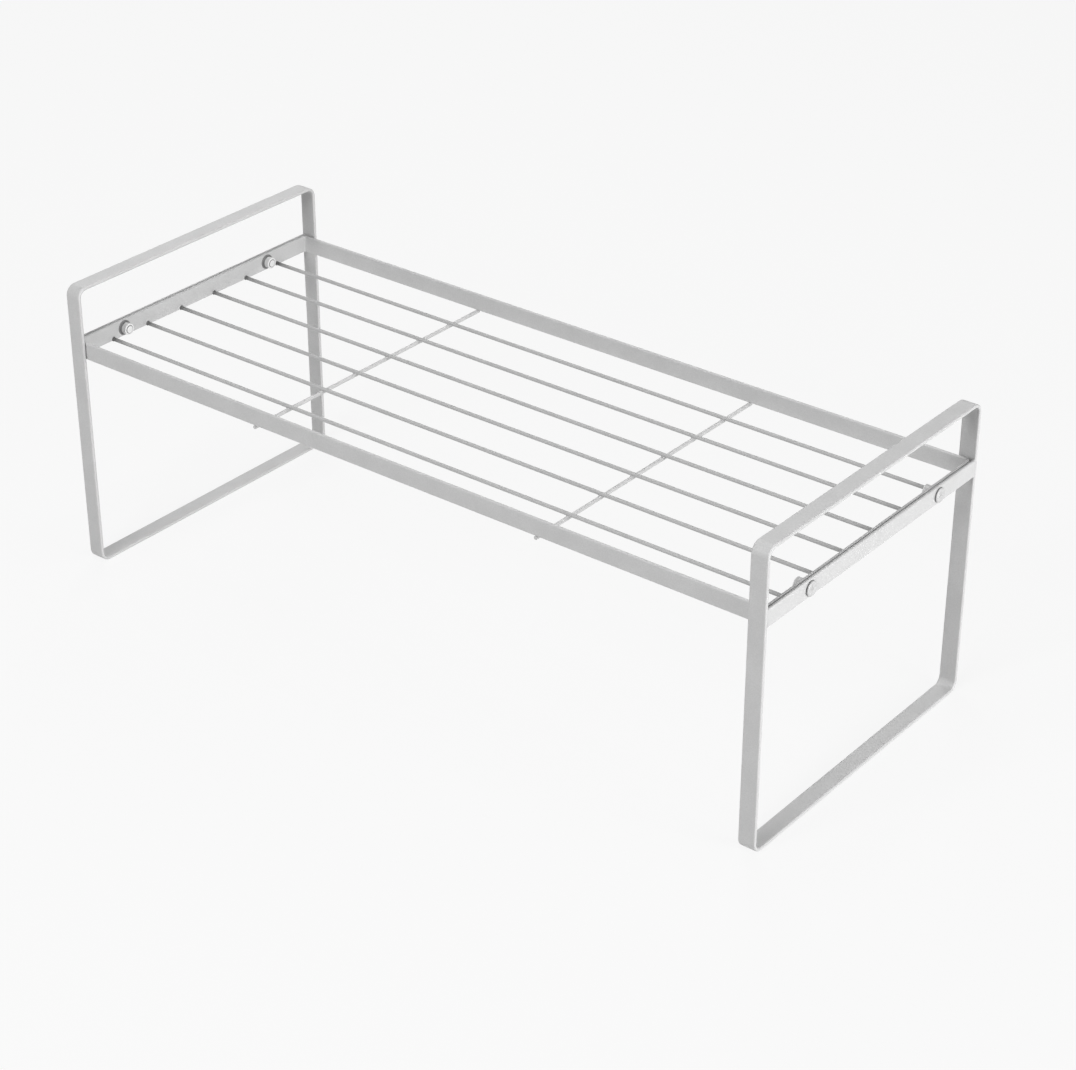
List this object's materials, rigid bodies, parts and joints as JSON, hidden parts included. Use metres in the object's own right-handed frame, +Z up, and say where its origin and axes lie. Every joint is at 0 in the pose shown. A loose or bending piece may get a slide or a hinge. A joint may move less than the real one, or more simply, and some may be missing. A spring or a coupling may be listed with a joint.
{
  "type": "two-tier countertop organizer",
  "caption": "Countertop rack: a raised wire shelf bolted between bent flat-bar side loops whose tops serve as handles.",
  "frame": {"origin": "on the counter, under the middle of the rack", "axes": "+X along the rack's length to its right end, +Y from front to rear, +Z up"},
  "size_m": [0.5038, 0.205, 0.185],
  "materials": {
    "silver_coat": "silver-grey powder coat, finely speckled, satin",
    "bright_zinc": "bright zinc plating"
  },
  "bodies": {
    "root": {"left_side_loop": "silver_coat", "right_side_loop": "silver_coat", "left_cross_bar": "silver_coat", "right_cross_bar": "silver_coat", "shelf_rim": "silver_coat", "long_wire_1": "silver_coat", "long_wire_2": "silver_coat", "long_wire_3": "silver_coat", "long_wire_4": "silver_coat", "long_wire_5": "silver_coat", "long_wire_6": "silver_coat", "left_cross_wire": "silver_coat", "right_cross_wire": "silver_coat", "front_left_bolt": "bright_zinc", "rear_left_bolt": "bright_zinc", "front_right_bolt": "bright_zinc", "rear_right_bolt": "bright_zinc", "front_left_bush": "bright_zinc", "rear_left_bush": "bright_zinc", "front_right_bush": "bright_zinc", "rear_right_bush": "bright_zinc"}
  },
  "joints": []
}
